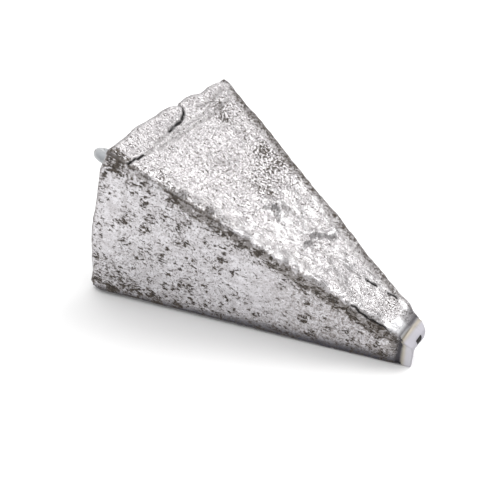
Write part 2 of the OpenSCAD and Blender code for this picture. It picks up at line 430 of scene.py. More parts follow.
# The lap goes on round the far side and the lower side
far_skin = sideways * rise(far, 0.3, 0.8)
lower_skin = sideways * rise(down, 0.3, 0.8)
fold(s, z, far_skin, [(3.0, 10.6), (2.6, 6.0), (3.2, 1.0), (3.7, -4.0), (3.2, -10.6)],
     depth=0.2, width=0.15, lip=0.08, lip_w=0.5, dark=0.7)
fold(s, y, lower_skin, [(3.1, 10.6), (3.4, 5.0), (2.8, -1.0), (2.4, -6.0), (2.6, -10.6)],
     depth=0.2, width=0.2)

# The nose was nipped off: a neck pressed in where the nippers closed, darkened with painted shade in its
# groove and on the skin just behind it, a small smooth block in front of it
neck_from_face = 36.05
neck_lean = 0.5
near_neck_back = 0.12
upper_neck_back = 0.25
neck_depth = 0.25
neck_width = 0.22
neck_shade_share = 0.55
block_step = 0.05
neck_corner_h = 0.28
neck_place = neck_from_face - neck_lean * share_z - near_neck_back * near * (1 - share_z)
neck_place = neck_place - upper_neck_back * up * (1 - 0.3 * share_y)
neck_widths = neck_width + 0.14 * near + 0.2 * up * rise(share_y, -0.7, 0.6)
# The neck's groove, which also carries the painted shade of the neck and of the skin just behind it
neck = bump_at(s, neck_place - 0.02 * up, neck_widths) * sideways * (1 - 0.2 * up)
neck_shade = bump_at(s, neck_place - 0.4, 0.65 + 0.3 * up) * sideways
neck_shade = neck_shade * (up * rise(share_y, -0.4, 0.3) + 0.5 * near)
neck = np.maximum(neck, neck_shade_share * neck_shade)
on_block = rise(s, neck_place + 0.1, neck_place + 0.3)
z = z - on_block * np.clip(share_z, 0, 1) * (0.1 + 0.5 * rise(-share_y, -0.7, 0.9))
height = height - neck_depth * neck * (1 - 0.6 * far) - block_step * near * on_block * sideways
near_upper_corner = bump_at(np.hypot(1 + share_y, 1 - share_z), 0, 0.4)
height = height + neck_corner_h * bump_at(s, neck_place - 0.6, 0.5) * near_upper_corner
kept_skin = 1 - on_block * sideways

# Uneven cast skin: slow waves, lumps that grow towards the nose, strands of set metal, and its crinkle
wave_h = 0.05
wave_len = 11
fine_lump_h = 0.03
full_lump_h = 0.12
cobble_h = 0.07
strand_h = 0.03
crinkle_h = 0.012
face_wave_h = 0.06
face_grain_h = 0.02
grown = np.minimum(1, 0.75 * (1 + share_z))
lumpy = rise(s, 12, 17) * (1 - rise(s, 32.0, 34.0)) * up * rise(1 - share_y, 0.1, 0.35)
waves = wave_h * np.sin(2 * math.pi * (s + y - z / 2) / wave_len)
waves = waves + wave_h * crumple(s, y, z, size=3.6, seed=11, layers=2)
lumps = crumple(s, y, z, size=1.5, seed=21) * (fine_lump_h + (full_lump_h - fine_lump_h) * lumpy)
strands = crumple(s * 0.5 + y * 0.2, y * 1.6, z * 1.6, size=0.5, seed=31, layers=2)
strands = strand_h * strands * rise(up + far, 0.2, 0.8)
crinkle = crinkle_h * crumple(s * 0.7, y, z, size=0.4, seed=35, layers=1)
cobbles = cobble_h * np.maximum(crumple(s, y, z, size=0.95, seed=23, layers=2), -0.6) * rise(s, 13, 17) * up
height = height + kept_skin * sideways * (waves * grown + lumps + cobbles + strands + crinkle)
face_waves = face_wave_h * crumple(s, y, z, size=4.0, seed=71)
face_waves = face_waves + face_grain_h * crumple(s, y, z, size=0.7, seed=75, layers=2)
height = height + pour_face * face_waves

# Battered long edges: the near upper one is rolled over in lumps, the far one stands out a little and ends
# in a curl before the nose. Gaps are distances from the edges, the near one negative on the upper side
rolled_h = 0.06
edge_lump_h = 0.3
worn_off_h = 0.10
bite_depth = 0.2
far_lip_h = 0.14
far_bite_depth = 0.07
curl_h = 0.34
near_gap = np.hypot(half + y, half - z)
near_gap = np.where(near > up, near_gap, -near_gap)
far_gap = np.hypot(half - y, half - z)
bites = crumple(s, y, z, size=0.9, seed=41)
edge_lumps = rolled_h + edge_lump_h * np.maximum(crumple(s, y, z, size=0.8, seed=43, layers=2), -0.3)
rolled = bump_at(near_gap, -0.7, 0.6) * rise(s, 4, 9) * up * kept_skin
height = height + sideways * rolled * edge_lumps
bitten = worn_off_h + bite_depth * np.maximum(bites, -0.4)
height = height - sideways * bump_at(near_gap, 0.2, 0.7) * bitten
far_lip = far_lip_h - far_bite_depth * np.maximum(bites, -0.5)
height = height + sideways * bump_at(far_gap, 0, 0.6) * far_lip * rise(s, 0.4, 1.2)
curl_here = rise(s, 32.2, 33.7) * (1 - rise(s, 33.9, 34.7)) * sideways
curl = curl_here * bump_at(far_gap, 0, 0.5)
height = height * (1 - curl) + curl_h * curl
# Painted highlight on the upper face of the curl
curl_inside_highlight = curl_here * bump_at(half - y, 0.85, 0.3) * up

# Pits of the oxidised sides, drawn out along the axis
pit_depth = 0.08
pit_cells = crumple(s * 0.55, y * 1.4, z * 1.4, size=0.62, seed=61, layers=2)
pits = rise(pit_cells, 0.42, 0.8) * sideways
height = height - pit_depth * pits * (0.3 + 0.7 * near)

# Lead drawn up round the two legs of the line eye, which come out of the pour face at a slant
leg_out = 3.8
leg_turn = math.radians(-35)
wire_r = 0.7
drawn_up_h = 0.3
drawn_up_w = 0.4
leg_line_w = 0.16
for side in (-1, 1):
    leg_gap = np.hypot(y - side * leg_out * math.cos(leg_turn), z - side * leg_out * math.sin(leg_turn))
    height = height + drawn_up_h * bump_at(leg_gap, wire_r, drawn_up_w) * pour_face
    # a thin ring of near-black painted shade where each leg goes into the lead
    crease = np.maximum(crease, bump_at(leg_gap, wire_r, leg_line_w) * pour_face)

# Cold slot left open in the nose end, close under its upper side, its inside painted near black as shade
slot_across = -0.12
slot_half_w = 0.5
slot_foot = 0.95
slot_depth = 0.12
slot_edge = 0.05
slot_dark = 1.5
slot = 1 - rise(np.abs(y - slot_across), slot_half_w - slot_edge, slot_half_w + slot_edge)
slot = slot * rise(z, slot_foot, slot_foot + 0.06) * rise(-np.cos(ring_roll), 0.2, 0.5)
crease = np.maximum(crease, slot_dark * slot)

# The lower side lies flat on its middle, so its skin only goes inwards, and its foot lifts off the table
# towards the near edge, which flares out a little
flare_out = 0.5
nose_flare_less = 0.2
under_h = 0.55
nose_under_less = 0.4
height = np.where(down * sideways > 0.2, np.minimum(height, 0), height)
flare = (flare_out - nose_flare_less * s / body_len) * rise(-share_z, 0.86, 1.0) * rise(-share_y, 0.6, 1.0)
flare = flare * rise(s, 0.2, 1.5) * kept_skin * sideways
under = (under_h - nose_under_less * rise(s, 20, 32)) * kept_skin * sideways
under = under * rise(-y / half, 0.5, 0.95) * rise(-z / half, 0.93, 1.0)
s = s - np.cos(ring_roll) * height - slot_depth * slot
y = y + np.sin(ring_roll) * np.cos(round_turn) * height - flare
z = z + np.sin(ring_roll) * np.sin(round_turn) * height + under

# The last of the nose tore off at a slant, so its end leans in below the slot and towards the far side
torn_at = 37.4
torn = torn_at + 0.17 * np.maximum(1.3 - z, 0) * (y < -1.2) - 1.3 * np.maximum(y - 1.0, 0)
torn = torn - 1.1 * rise(y, -1.75, -0.4) * rise(slot_foot - z, 0, 0.3)
torn = torn - 0.45 * np.maximum(y + 0.4, 0) * rise(0.9 - z, 0, 0.5)
s = np.minimum(s, torn)


def patches(along, across, table):
    """The sum of soft oval patches: (amount, place along, place across, half length, half width)."""
    total = 0 * along
    for amount, along_at, across_at, half_len, half_wide in table:
        from_middle = np.hypot((along - along_at) / half_len, (across - across_at) / half_wide)
        total = total + amount * bump_at(from_middle, 0, 1)
    return total


# Where the oxide gathers on the near side: all over it, more low down and at the nose, in a few upright
# streaks and in bands near the pour face, and less on the rubbed strip along the rim
near_oxide = 0.33
most_near_oxide = 0.62
band_step = 0.85
near_patches = [
    (0.35, 0.8, 9.4, 1.69, 1.3), (0.3, 9.6, 3.6, 1.0, 1.6), (0.25, 7.2, -1.2, 1.6, 1.6),
    (0.2, 3.2, 2.3, 0.8, 0.8), (0.25, 5.9, 3.6, 0.8, 0.8), (0.3, 13.9, 2.2, 1.4, 1.4),
    (0.2, 12.0, -3.8, 1.2, 1.2), (0.15, 5.0, 7.5, 1.6, 0.8), (-0.2, 19.5, 1.0, 4.4, 2.2),
    (-0.12, 11.5, 1.0, 2.4, 1.6), (-0.12, 8.5, -6.0, 1.7, 1.7), (-0.12, 20.3, -4.0, 2.0, 2.0),
    (0.15, 11.0, 6.5, 1.2, 1.2), (0.15, 17.3, 4.5, 1.2, 1.2), (0.12, 0.8, 6.0, 1.3, 1.3),
    (-0.12, 4.9, 1.3, 1.3, 1.3),
]
low_band = near * rise(-share_z, 1 - 2.8 / half, 1 - 1.4 / half) * sideways * kept_skin
low_down = 0.17 * rise(-z / half, 0.35, 0.8) * (1 - 0.7 * rise(s, 9, 15)) + 0.06 * low_band
under_edge = 0.05 * rise(z / half, 0.68, 0.88) * rise(s, 0.4, 1.5) * (1 - rise(s, 9, 12))
rim_strip = 0.15 * bump_at(s, 0.6, 0.35)
rim_strip = rim_strip - 0.25 * bump_at(s, 1.4, 0.8) * rise(z, -5, -3) * (1 - rise(z, 5.5, 7.5))
upright_streak = 0.3 * bump_at(s, 9.3, 0.35) * rise(z, 1, 2.5) * (1 - rise(z, 6.5, 8))
low_streaks = (0.2 * bump_at(s, 2.6, 0.3) + 0.16 * bump_at(s, 4.6, 0.3)) * rise(-z, 4, 5)
bands = np.sin(2 * math.pi * z / band_step) * patches(s, z, [(0.12, 3.5, 5.5, 4.9, 3.5)])
oxide = near_oxide + low_down + under_edge + rim_strip + upright_streak + low_streaks + bands
oxide = oxide + patches(s, z, near_patches) + 0.1 * rise(s, 31.5, 33.5)
oxide = np.minimum(near * sideways * oxide, most_near_oxide)

# and on the upper side: thin all over, thicker along both long edges and towards the pour face's far corner.
# The far and the lower side have some all over, and the pour face very little
upper_oxide = 0.2
hidden_side_oxide = 0.33
pour_face_oxide = 0.12
upper_patches = [
    (0.6, 10.3, 5.4, 0.99, 1.43), (0.45, 12.8, 5.8, 0.9, 0.9), (0.42, 12.8, 2.4, 2.2, 2.86),
    (0.55, 14.6, 0.8, 0.9, 0.9), (0.35, 2.5, 6.0, 1.6, 1.6), (0.8, 4.6, 5.15, 0.675, 0.45),
    (0.2, 9.0, -1.0, 2.5, 2.5), (0.6, 1.0, -10.4, 1.5, 1.0), (0.4, 32.4, 0.7, 1.1, 1.76),
    (0.15, 13.3, -1.0, 1.4, 2.1), (0.45, 12.1, -7.4, 0.52, 0.4), (0.35, 5.6, -8.1, 1.0, 0.5),
    (0.15, 22.0, 4.0, 3.25, 1.3), (0.12, 21.0, -3.8, 2.4, 1.2), (0.25, 16.0, -0.5, 1.0, 1.0),
    (0.25, 22.0, 0.5, 1.6, 1.6),
]
near_edge_oxide = 0.4 * rise(near_gap, -1.6, -0.7) * (1 - rise(s, 13, 16))
far_edge_oxide = 0.55 * (1 - rise(half - y, 0.3, 1.6)) * rise(s, 1, 3) * (1 - rise(s, 30, 33))
far_corner_oxide = 0.2 * rise(y, 2.5, 6) * (1 - rise(s, 14, 20)) * rise(s, 2, 4)
upper_amount = upper_oxide + near_edge_oxide + far_edge_oxide + far_corner_oxide
upper_amount = upper_amount + patches(s, y, upper_patches) - 0.1 * rise(s, 17, 20) + 0.07 * rise(s, 25, 29)
oxide = oxide + up * sideways * upper_amount
oxide = (oxide + (far + down) * sideways * hidden_side_oxide + pour_face * pour_face_oxide) * kept_skin

# Worn, painted-shade and painted-highlight strips along the edges: the near one has a worn band below it and
# a strip darkened in patches above it, the far one and the rim a line of painted shade, and the roll above
# the near one a painted highlight
near_band_place = 0.6
near_band_w = 0.9
near_band_top = -0.25
near_fringe_share = 0.1
nose_fringe_share = 0.5
far_band_in = 0.5
far_band_w = 1.7
rim_line_w = 0.26
near_strip_shade = 0.4
edge_highlight_share = 0.3
block_line_dark = 0.6
near_drop = near_gap + 0.5 * np.clip(bites, -0.7, 0.8)
near_band = bump_at(near_drop, near_band_place, near_band_w) * (near_drop > near_band_top)
near_fringe = rise(near_gap, 0.2, 0.8) * (1 - rise(near_gap, 1.2, 2.8))
fringe_share = near_fringe_share + (nose_fringe_share - near_fringe_share) * rise(s, 18, 24)
near_band = near_band + fringe_share * near_fringe
near_band = np.clip(near_band, 0, 1) * kept_skin * sideways * (0.5 + 0.5 * rise(s, 6, 11))
far_band_widths = far_band_w - 0.5 * bump_at(s, 16.5, 2) + 0.5 * bump_at(s, 24, 4)
# Painted shade along the rounding of the far edge, narrower round the curl
far_edge_shade = (1 - rise(half - y, far_band_in, far_band_widths)) * up * kept_skin * sideways * rise(s, 0.5, 2.0)
far_edge_shade = far_edge_shade * (1 - curl_here * rise(half - y, 0.4, 0.6))
# and a thin line of painted shade round the rim
rim_shade = bump_at(ring_s, 0.08, rim_line_w) * rise(sideways, 0.01, 0.12) * (near + 0.8 * up)
near_dark_strip = bump_at(near_gap, -1.0, 0.7) * up * sideways * rise(s, 7, 9) * (1 - rise(s, 23, 26))
shade = np.maximum.reduce([far_edge_shade, rim_shade, hollow_shade, near_strip_shade * near_dark_strip])
# Painted highlight along the roll above the near edge, broken where it is bitten
edge_highlight = edge_highlight_share * bump_at(near_gap, -0.65, 0.45) * rise(s, 3, 5) * up * kept_skin
edge_highlight = edge_highlight * rise(bites, -0.5, 0.3)
block_line = bump_at(near_gap, 0.0, 0.16) * on_block * sideways
# a line of painted shade along the block's near upper edge
crease = np.maximum(crease, block_line_dark * block_line)

# What the metal is like elsewhere: the cut faces of the block, the smooth sides that the mould gave, painted
# lighter than the upper side as painted light, the painted shade along their foot and over the lower side,
# the brown mottle towards the nose with painted shade darkening the near side there, painted highlights by
# the neck and in the curl, and the cobbled and the dragged skin of the upper side
far_smoothness = 0.9
lower_smoothness = 0.7
foot_h = 1.5
foot_edge = 0.45
plain_mottle_and_shade = 0.2
neck_polish = 0.85
curl_highlight_share = 0.6
block = on_block * sideways * (0.5 + 0.5 * rise(s, neck_place + 0.5, neck_place + 0.95))
block = np.where(nose_end > 0.02, 1, block)
# The smooth sides the mould gave; their paint is also lighter than the upper side's, as painted light
smooth_side_painted_lighter = (near + far_smoothness * far + lower_smoothness * down) * sideways
# Painted shade: a dark band along the foot of the near side, and the whole lower side, where the table
# shades them
foot_from = 1 - (foot_h + 0.5 * rise(s, 13, 18)) / half
foot_shade_mask = (near * rise(-share_z, foot_from, 1 - foot_edge / half) + down) * sideways * kept_skin
# Brown mottle on the near side that grows towards the nose and downwards, partly painted shade darkening
# that end of the near side
mottle_and_shade = near * sideways * kept_skin * (plain_mottle_and_shade + (1 - plain_mottle_and_shade) * rise(s - z / 3, 16, 25))
mottle_and_shade = mottle_and_shade + plain_mottle_and_shade * low_band
mottle_and_shade = np.clip(mottle_and_shade - near * patches(s, z, [(0.5, 20.0, -1.8, 4.8, 2.4)]), 0, 1)
cobbled = up * sideways * rise(s - 0.3 * y, 12, 17) * (1 - 0.5 * rise(s, 23, 27))
dragged = up * sideways * (1 - rise(s, 2.6, 3.4) * (0.55 + 0.45 * rise(s, 7, 11)))
# Painted highlight on the skin just behind the neck; then the cut faces of the block and the nose end, the
# near edge's painted highlight and the curl's
by_the_neck = neck_polish * up * rise(s - 0.3 * y, 33.8, 34.4) * rise(-y, -0.3, 0.3) * (1 - on_block)
polish_and_highlight = by_the_neck + on_block * sideways + nose_end
polish_and_highlight = np.maximum.reduce([polish_and_highlight, edge_highlight, curl_highlight_share * curl_inside_highlight])
polish_and_highlight = np.clip(polish_and_highlight, 0, 1)
masks = {
    "crease": crease, "oxide": oxide, "edge": near_band, "polish_and_highlight": polish_and_highlight, "neck": neck,
    "smooth_side_painted_lighter": smooth_side_painted_lighter, "mottle_and_shade": mottle_and_shade, "foot_shade_mask": foot_shade_mask, "shade": shade,
    "block": block, "cobbled": cobbled, "dragged": dragged,
}

# Points of the mesh in the frame. Past coarse_place, towards the nose, every second one is left out
coarse_place = 17.0
cos_tilt, sin_tilt = math.cos(tilt), math.sin(tilt)
skin = np.stack([
    face_middle.x + s * cos_tilt + z * sin_tilt,
    y,
    face_middle.z - s * sin_tilt + z * cos_tilt,
], axis=-1)
low, high = [np.array(corner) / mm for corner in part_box("lead_body")]
skin = np.clip(skin, low, high)
coarse_from = int(np.argmax(ring_s[:, 0] > coarse_place))
points = []
point_masks = []
ring_ids = []
for i in range(len(rings)):
    kept = np.arange(0, round_count, 1 if i < coarse_from else 2)
    ring_ids.append(np.arange(len(kept)) + len(points))
    points.extend(skin[i, kept])
    point_masks.extend(np.stack([layer[i, kept] for layer in masks.values()], axis=-1))
face_tip = len(points)
end_tip = face_tip + 1
for end_ring in (skin[0], skin[-1]):
    points.append(end_ring.mean(axis=0))
    point_masks.append(np.zeros(len(masks)))

faces = []
for this, after in zip(ring_ids, ring_ids[1:]):
    count = len(after)
    ratio = len(this) // count
    for k in range(count):
        a0, a1 = this[k * ratio], this[(k + 1) * ratio % len(this)]
        b0, b1 = after[k], after[(k + 1) % count]
        if ratio == 2:
            middle = this[k * 2 + 1]
            faces += [(a0, b0, middle), (middle, b0, b1), (middle, b1, a1)]
        else:
            faces.append((a0, b0, b1, a1))
first_ring, last_ring = ring_ids[0], ring_ids[-1]
for k in range(len(first_ring)):
    faces.append((face_tip, first_ring[k], first_ring[(k + 1) % len(first_ring)]))
for k in range(len(last_ring)):
    faces.append((end_tip, last_ring[(k + 1) % len(last_ring)], last_ring[k]))

casting = bpy.data.meshes.new("lead_casting")
casting.from_pydata(np.array(points) * mm, [], faces)
casting.validate()
casting.shade_smooth()
for index, name in enumerate(masks):
    layer = casting.attributes.new(name, "FLOAT", "POINT")
    layer.data.foreach_set("value", np.array(point_masks)[:, index])
lead_casting = bpy.data.objects.new("lead_casting", casting)
bpy.context.scene.collection.objects.link(lead_casting)


def put(tree, kind, inputs=None, **settings):
    """A new shader node, with its settings and with a value or a link for each named input."""
    node = tree.nodes.new(kind)
    for name, value in settings.items():
        setattr(node, name, value)
    for name, value in (inputs or {}).items():
        if isinstance(value, bpy.types.NodeSocket):
            tree.links.new(value, node.inputs[name])
        else:
            node.inputs[name].default_value = value
    return node


def noise(tree, place, scale, detail, roughness, distortion=0.0):
    """Cloudy noise about a middle of 0.5, with scale clouds to the millimetre."""
    inputs = {"Vector": place, "Scale": scale, "Detail": detail, "Roughness": roughness,
              "Distortion": distortion}
    return put(tree, "ShaderNodeTexNoise", inputs).outputs["Fac"]


def along_axis(tree):
    """Places in the sinker's own frame, in millimetres: along its axis, across and upwards."""
    place = put(tree, "ShaderNodeTexCoord").outputs["Object"]
    turned_back = {"Vector": place, "Rotation": (0, -tilt, 0), "Scale": (1 / mm, 1 / mm, 1 / mm)}
    return put(tree, "ShaderNodeMapping", turned_back).outputs[0]


def spread(tree, value, low, high, to_low=0.0, to_high=1.0, kind="LINEAR"):
    """Stretches the values from low to high over the range to_low to to_high."""
    ends = {"Value": value, "From Min": low, "From Max": high, "To Min": to_low, "To Max": to_high}
    return put(tree, "ShaderNodeMapRange", ends, interpolation_type=kind).outputs[0]


def sums(tree, kind, a, b, c=0.0):
    """One sum on two or three values."""
    return put(tree, "ShaderNodeMath", {0: a, 1: b, 2: c}, operation=kind).outputs[0]


def times(tree, a, b):
    """The product of two values."""
    return sums(tree, "MULTIPLY", a, b)


def most(tree, first, *others):
    """The largest of several values."""
    for other in others:
        first = sums(tree, "MAXIMUM", first, other)
    return first


def blend(tree, share, low, high):
    """A colour between low and high."""
    return put(tree, "ShaderNodeMix", {"Factor": share, 6: low, 7: high}, data_type="RGBA").outputs[2]


def stretched(tree, place, factors):
    """A place with each of its coordinates multiplied."""
    return put(tree, "ShaderNodeVectorMath", {0: place, 1: factors}, operation="MULTIPLY").outputs[0]


def effect(name, inputs, outputs):
    """An empty node group, its two end nodes, and its input Place enlarged by its input Size."""
    group = bpy.data.node_groups.new(name, "ShaderNodeTree")
    group.interface.new_socket("Place", in_out="INPUT", socket_type="NodeSocketVector")
    for label, value in inputs:
        socket = group.interface.new_socket(label, in_out="INPUT", socket_type="NodeSocketFloat")
        socket.default_value = value
    for label in outputs:
        group.interface.new_socket(label, in_out="OUTPUT", socket_type="NodeSocketFloat")
    given, result = put(group, "NodeGroupInput"), put(group, "NodeGroupOutput")
    sized = put(group, "ShaderNodeVectorMath", {0: given.outputs["Place"], 3: given.outputs["Size"]},
                operation="SCALE").outputs[0]
    return group, given, result, sized


# Spots of oxide: specks, drawn out along the piece, that gather in loose patches. Amount is 0 where the
# metal is clean and 1 where it is covered
speck_draw = (1.15, 2.1, 2.1)
patch_weight = 0.8
spot_amount_weight = 0.3
spot_levels = {"Mask": (1.10, 1.14), "Halo": (1.04, 1.12)}
oxide_spots, given, result, sized = effect("oxide_spots", [("Amount", 0.5), ("Size", 1.0)], ["Mask", "Halo"])
drawn = stretched(oxide_spots, sized, speck_draw)
specks = noise(oxide_spots, drawn, scale=1.0, detail=4.0, roughness=0.68, distortion=0.5)
clouds = noise(oxide_spots, sized, scale=0.45, detail=3.0, roughness=0.7)
gathered = sums(oxide_spots, "MULTIPLY_ADD", clouds, patch_weight, specks)
raised = sums(oxide_spots, "MULTIPLY_ADD", given.outputs["Amount"], spot_amount_weight, gathered)
for name, (low, high) in spot_levels.items():
    cut = spread(oxide_spots, raised, low, high, kind="SMOOTHSTEP")
    oxide_spots.links.new(cut, result.inputs[name])

# Fine sprinkled specks of oxide on the rough cast sides, thicker where the amount is higher
sprinkle_amount_weight = 0.17
sprinkle_levels = {"Mask": (0.635, 0.665), "Halo": (0.59, 0.66)}
sprinkles, given, result, sized = effect("sprinkles", [("Amount", 0.5), ("Size", 1.0)], ["Mask", "Halo"])
specks = noise(sprinkles, sized, scale=3.9, detail=3.5, roughness=0.7)
raised = sums(sprinkles, "MULTIPLY_ADD", given.outputs["Amount"], sprinkle_amount_weight, specks)
for name, (low, high) in sprinkle_levels.items():
    cut = spread(sprinkles, raised, low, high, kind="SMOOTHSTEP")
    sprinkles.links.new(cut, result.inputs[name])

# Wrinkles of set metal: fine broken lines, and the height of the grain between them. A line runs where the
# grain passes through its middle value
line_edge = 0.07
line_core = 0.015
set_wrinkles, given, result, sized = effect("set_wrinkles", [("Size", 1.0)], ["Lines", "Height"])
grain = noise(set_wrinkles, sized, scale=4.2, detail=5.0, roughness=0.68, distortion=0.1)
off_line = sums(set_wrinkles, "ABSOLUTE", sums(set_wrinkles, "SUBTRACT", grain, 0.5), 0.0)
lines = spread(set_wrinkles, off_line, line_edge, line_core, kind="SMOOTHSTEP")
broken = noise(set_wrinkles, sized, scale=1.3, detail=3.0, roughness=0.6)
lines = times(set_wrinkles, lines, spread(set_wrinkles, broken, 0.33, 0.52))
set_wrinkles.links.new(lines, result.inputs["Lines"])
set_wrinkles.links.new(grain, result.inputs["Height"])

lead_light = (0.660, 0.646, 0.652, 1.0)
cobble_highlight_white = (0.92, 0.91, 0.92, 1.0)
lead_shade = (0.540, 0.526, 0.533, 1.0)
# paint of the smooth sides, lighter than the upper side's as painted light
mould_light = (0.835, 0.82, 0.85, 1.0)
mould_shade = (0.605, 0.583, 0.60, 1.0)
lead_oxide = (0.036, 0.028, 0.023, 1.0)
oxide_brown = (0.10, 0.082, 0.067, 1.0)
oxide_halo = (0.24, 0.21, 0.19, 1.0)
lead_worn = (0.25, 0.23, 0.22, 1.0)
wrinkle_dark = (0.10, 0.088, 0.094, 1.0)
# painted shade for the foot and the lower side
painted_foot_shade = (0.05, 0.05, 0.07, 1.0)
mottle_and_shade_brown = (0.19, 0.157, 0.137, 1.0)
neck_grey = (0.06, 0.056, 0.065, 1.0)
cut_grey = (0.44, 0.43, 0.47, 1.0)
cut_light = (0.58, 0.57, 0.61, 1.0)
cut_warm = (0.27, 0.245, 0.205, 1.0)
cut_cream = (0.50, 0.465, 0.40, 1.0)
edge_shade = (0.10, 0.087, 0.079, 1.0)
# for the cut faces and the painted highlights
polish_and_highlight_grey = (0.76, 0.76, 0.78, 1.0)
black_painted_shade = (0.010, 0.008, 0.008, 1.0)

# How large and how strong each kind of dirt and wear is, and the finish of clean and of dull metal
spot_size = 1.55
wide_wrinkle_size = 0.42
edge_wear_oxide = 0.3
shade_share = 0.87
line_share = 0.6
drag_share = 0.6
speck_share = 0.7
mottle_and_shade_share = 0.75
wear_share = 0.85
foot_shade_share = 0.9
halo_share = 0.55
plain_wide_share = 0.15
cobbled_wide_share = 0.6
mould_smoothness = 0.85
mould_speck_share = 0.35
mould_sprinkle_share = 0.55
clean_metallic, dull_metallic = 0.92, 0.2
clean_roughness, dull_roughness = 0.26, 0.7
oxide_pit_h = -0.25
grit_h = 0.3
bump_h = 0.1 * mm
drag_draw = (0.9, 5.5, 5.5)
raggedness = 6.0

cast_lead = bpy.data.materials.new("cast_lead")
cast_lead.use_nodes = True
tree = cast_lead.node_tree
shader = tree.nodes["Principled BSDF"]
axis_place = along_axis(tree)
mask = {name: put(tree, "ShaderNodeAttribute", attribute_name=name).outputs["Fac"] for name in masks}

tone = noise(tree, axis_place, scale=1.1, detail=6.0, roughness=0.7)
ragged = noise(tree, axis_place, scale=1.7, detail=5.0, roughness=0.72, distortion=0.4)
cobble = noise(tree, axis_place, scale=1.35, detail=2.5, roughness=0.5, distortion=0.2)
grit = noise(tree, axis_place, scale=3.0, detail=4.0, roughness=0.7)
fine_grit = noise(tree, axis_place, scale=8.0, detail=2.0, roughness=0.6)
drag_place = stretched(tree, axis_place, drag_draw)
drag = noise(tree, drag_place, scale=1.0, detail=3.0, roughness=0.6)
worn_oxide = sums(tree, "MULTIPLY_ADD", mask["edge"], edge_wear_oxide, mask["oxide"])
spots = put(tree, "ShaderNodeGroup", {"Place": axis_place, "Amount": worn_oxide, "Size": spot_size},
            node_tree=oxide_spots)
fine_spots = put(tree, "ShaderNodeGroup", {"Place": axis_place, "Amount": mask["oxide"]},
                 node_tree=sprinkles)
wrinkles = put(tree, "ShaderNodeGroup", {"Place": axis_place}, node_tree=set_wrinkles)
wide_wrinkles = put(tree, "ShaderNodeGroup", {"Place": axis_place, "Size": wide_wrinkle_size},
                    node_tree=set_wrinkles)

# Clean metal: rough cast, whiter blobs on the cobbles as painted highlights, smoother where the mould gave
# it and painted lighter there as painted light, the polish colour on the cut faces and as painted highlights
# by the neck, along the near edge's roll and in the curl, and the cut faces of the block, the near one
# painted lighter
tone_share = spread(tree, tone, 0.35, 0.62)
clean = blend(tree, tone_share, lead_shade, lead_light)
# Painted highlights: whiter blobs on the cobbles
clean = blend(tree, times(tree, spread(tree, cobble, 0.50, 0.58), mask["cobbled"]), clean, cobble_highlight_white)
# The smooth sides painted lighter than the upper side, as painted light
clean = blend(tree, mask["smooth_side_painted_lighter"], clean, blend(tree, tone_share, mould_shade, mould_light))
# The polish colour: the cut faces, and painted highlights by the neck, on the near edge's roll and in the
# curl
clean = blend(tree, mask["polish_and_highlight"], clean, polish_and_highlight_grey)
# The block's cut faces, the near ones painted lighter than the upper ones, as painted light
cut_rim = blend(tree, mask["smooth_side_painted_lighter"], cut_warm, cut_cream)
cut_face = blend(tree, mask["smooth_side_painted_lighter"], cut_grey, cut_light)
clean = blend(tree, spread(tree, mask["block"], 0.0, 0.5), clean, cut_rim)
clean = blend(tree, spread(tree, mask["block"], 0.5, 1.0), clean, cut_face)
# Painted shade along the far edge, round the rim and in the hollows of the folds, with the dark strip above
# the near edge, broken up by noise
shade_here = times(tree, mask["shade"], spread(tree, ragged, 0.36, 0.56, 0.35, 1.0))
shade_here = times(tree, shade_here, spread(tree, grit, 0.40, 0.58, 0.45, 1.0))
clean = blend(tree, times(tree, shade_here, shade_share), clean, edge_shade)

# Dark lines, drag marks, specks, and mottle with painted shade in the cast skin
bare = sums(tree, "SUBTRACT", 1.0, mask["polish_and_highlight"])
rough_side = sums(tree, "SUBTRACT", 1.0, times(tree, mask["smooth_side_painted_lighter"], mould_smoothness))
rough_side = times(tree, rough_side, bare)
wide_share = spread(tree, mask["cobbled"], 0.0, 1.0, plain_wide_share, cobbled_wide_share)
both_lines = most(tree, wrinkles.outputs["Lines"], times(tree, wide_wrinkles.outputs["Lines"], wide_share))
lines_here = times(tree, both_lines, times(tree, rough_side, line_share))
lined = blend(tree, lines_here, clean, wrinkle_dark)
drag_here = times(tree, spread(tree, drag, 0.50, 0.64), times(tree, mask["dragged"], bare))
lined = blend(tree, times(tree, drag_here, drag_share), lined, wrinkle_dark)
specks_for = times(tree, bare, spread(tree, mask["smooth_side_painted_lighter"], 0.0, 1.0, 1.0, mould_speck_share))
specks_here = times(tree, spread(tree, fine_grit, 0.55, 0.63), specks_for)
lined = blend(tree, times(tree, specks_here, speck_share), lined, wrinkle_dark)
mottle_and_shade_here = times(tree, spread(tree, grit, 0.44, 0.62), mask["mottle_and_shade"])
lined = blend(tree, times(tree, mottle_and_shade_here, mottle_and_shade_share), lined, mottle_and_shade_brown)

# Worn edge and the painted shade of the foot, then the oxide, the painted shade of the neck and the
# near-black painted shade of the open cracks
uneven = sums(tree, "MULTIPLY_ADD", ragged, raggedness, sums(tree, "ADD", mask["edge"], -raggedness / 2))
edge_worn = times(tree, spread(tree, uneven, 0.35, 1.0), spread(tree, mask["edge"], 0.05, 0.3))
worn = blend(tree, times(tree, edge_worn, wear_share), lined, lead_worn)
worn = blend(tree, times(tree, mask["foot_shade_mask"], foot_shade_share), worn, painted_foot_shade)
fine_share = spread(tree, mask["smooth_side_painted_lighter"], 0.0, 1.0, 1.0, mould_sprinkle_share)
halo = most(tree, times(tree, fine_spots.outputs["Halo"], fine_share),
            times(tree, spots.outputs["Halo"], mask["smooth_side_painted_lighter"]))
halo = times(tree, halo, times(tree, bare, halo_share))
dirt = most(tree, times(tree, fine_spots.outputs["Mask"], fine_share),
            times(tree, spots.outputs["Mask"], mask["smooth_side_painted_lighter"]))
dirt = times(tree, dirt, bare)
